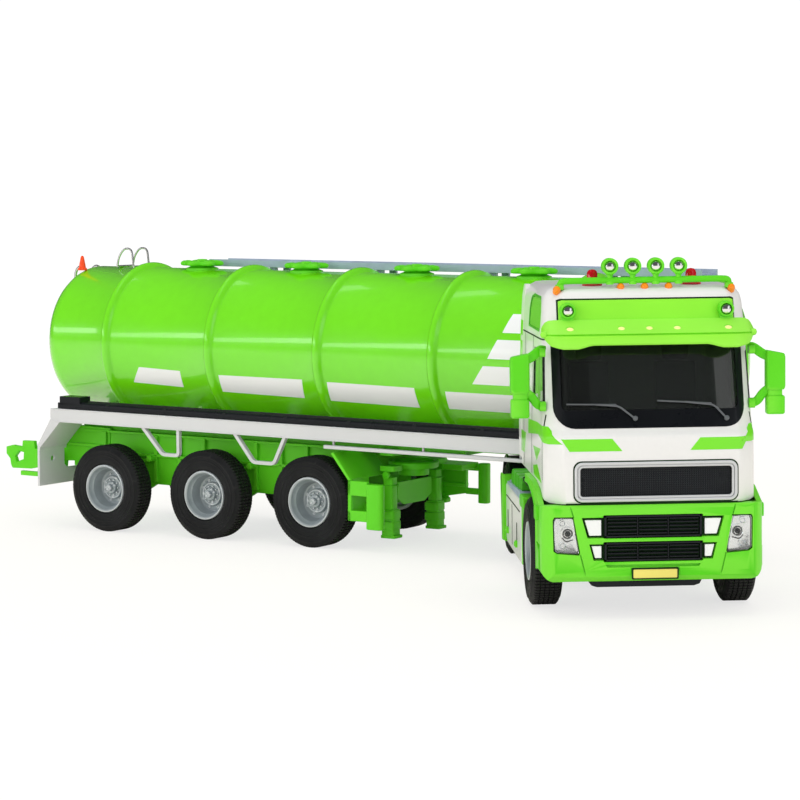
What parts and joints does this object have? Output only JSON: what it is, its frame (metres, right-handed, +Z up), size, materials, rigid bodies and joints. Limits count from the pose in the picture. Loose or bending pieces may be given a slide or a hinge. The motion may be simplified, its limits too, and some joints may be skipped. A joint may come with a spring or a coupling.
{
  "type": "model tanker truck",
  "caption": "Articulated model road tanker: a cab-over tractor coupled to a ringed tank trailer, with rolling wheels, a turning and lifting coupling and sliding landing legs.",
  "frame": {"origin": "on the kingpin axis, on the flat underside of the tractor's drive-axle block, 9 mm above the ground the tyres stand on", "axes": "+Z up along the kingpin axis; -Y the way the tractor faces; +X the tractor's left side. At rest the trailer stands 54.1 degrees round from straight behind."},
  "size_m": [0.2001, 0.2226, 0.0788],
  "materials": {
    "lime_gloss": "bright lime gloss enamel on die-cast metal",
    "lime_plastic": "lime moulded plastic, semi-gloss",
    "cab_white": "white gloss enamel",
    "satin_silver": "silver-painted plastic, satin",
    "rim_grey": "metallic grey moulded plastic",
    "tyre_black": "black moulded rubber, matte",
    "black_plastic": "black moulded plastic",
    "tinted_glass": "dark tinted clear moulding",
    "lamp_clear": "clear lens over a silver reflector",
    "lamp_red": "translucent red plastic",
    "steel": "bright wire and rod"
  },
  "bodies": {
    "tractor": {"tractor_chassis": "black_plastic", "fifth_wheel": "black_plastic", "cab_shell": "cab_white", "cab_glazing": "tinted_glass", "cab_interior": "black_plastic", "front_bumper": "lime_plastic", "bumper_intake": "black_plastic", "radiator_grille": "satin_silver", "header_visor": "lime_plastic", "light_bar": "lime_plastic", "headlamp_left": "lamp_clear", "headlamp_right": "lamp_clear", "roof_beacon_left": "lamp_red", "roof_beacon_right": "lamp_red", "mirror_left": "lime_plastic", "mirror_right": "lime_plastic", "side_fairing_left": "cab_white", "side_fairing_right": "cab_white"},
    "front_wheelset": {"front_axle": "steel", "front_rim_left": "rim_grey", "front_rim_right": "rim_grey", "front_tyre_left": "tyre_black", "front_tyre_right": "tyre_black"},
    "drive_wheelset": {"drive_axle": "steel", "drive_rim_left": "rim_grey", "drive_rim_right": "rim_grey", "drive_tyre_left": "tyre_black", "drive_tyre_right": "tyre_black"},
    "coupling": {"kingpin": "steel"},
    "trailer": {"tank_shell": "lime_gloss", "hatch_1": "lime_plastic", "hatch_2": "lime_plastic", "hatch_3": "lime_plastic", "hatch_4": "lime_plastic", "tank_frame": "satin_silver", "walkway": "satin_silver", "ladder": "steel", "rear_beacon": "lamp_red", "trailer_chassis": "lime_plastic", "hose_tray_left": "black_plastic", "hose_tray_right": "black_plastic", "side_guard_left": "lime_plastic", "side_guard_right": "lime_plastic"},
    "trailer_wheelset_1": {"trailer_1_axle": "steel", "trailer_1_rim_left": "rim_grey", "trailer_1_rim_right": "rim_grey", "trailer_1_tyre_left": "tyre_black", "trailer_1_tyre_right": "tyre_black"},
    "trailer_wheelset_2": {"trailer_2_axle": "steel", "trailer_2_rim_left": "rim_grey", "trailer_2_rim_right": "rim_grey", "trailer_2_tyre_left": "tyre_black", "trailer_2_tyre_right": "tyre_black"},
    "trailer_wheelset_3": {"trailer_3_axle": "steel", "trailer_3_rim_left": "rim_grey", "trailer_3_rim_right": "rim_grey", "trailer_3_tyre_left": "tyre_black", "trailer_3_tyre_right": "tyre_black"},
    "leg_left": {"landing_leg_left": "lime_plastic"},
    "leg_right": {"landing_leg_right": "lime_plastic"}
  },
  "joints": [
    {"name": "front_wheel_spin", "type": "hinge", "parent": "tractor", "child": "front_wheelset", "pos_m": [0, -0.076, 0.00317], "axis": [1, 0, 0], "continuous": true},
    {"name": "drive_wheel_spin", "type": "hinge", "parent": "tractor", "child": "drive_wheelset", "pos_m": [0, 0.006, 0.00317], "axis": [1, 0, 0], "continuous": true},
    {"name": "hitch_lift", "type": "slide", "parent": "tractor", "child": "coupling", "axis": [0, 0, 1], "range_m": [0, 0.012]},
    {"name": "trailer_yaw", "type": "hinge", "parent": "coupling", "child": "trailer", "pos_m": [0, 0, 0.016], "axis": [0, 0, 1], "range_deg": [-129.1, 20.9]},
    {"name": "trailer_wheel_spin_1", "type": "hinge", "parent": "trailer", "child": "trailer_wheelset_1", "pos_m": [-0.05913, 0.04281, 0.00317], "axis": [0.5864, 0.81, 0], "continuous": true},
    {"name": "trailer_wheel_spin_2", "type": "hinge", "parent": "trailer", "child": "trailer_wheelset_2", "pos_m": [-0.08748, 0.06333, 0.00317], "axis": [0.5864, 0.81, 0], "continuous": true},
    {"name": "trailer_wheel_spin_3", "type": "hinge", "parent": "trailer", "child": "trailer_wheelset_3", "pos_m": [-0.11584, 0.08385, 0.00317], "axis": [0.5864, 0.81, 0], "continuous": true},
    {"name": "leg_left_slide", "type": "slide", "parent": "trailer", "child": "leg_left", "axis": [0, 0, 1], "range_m": [-0.0015, 0.006]},
    {"name": "leg_right_slide", "type": "slide", "parent": "trailer", "child": "leg_right", "axis": [0, 0, 1], "range_m": [-0.0015, 0.006]}
  ]
}
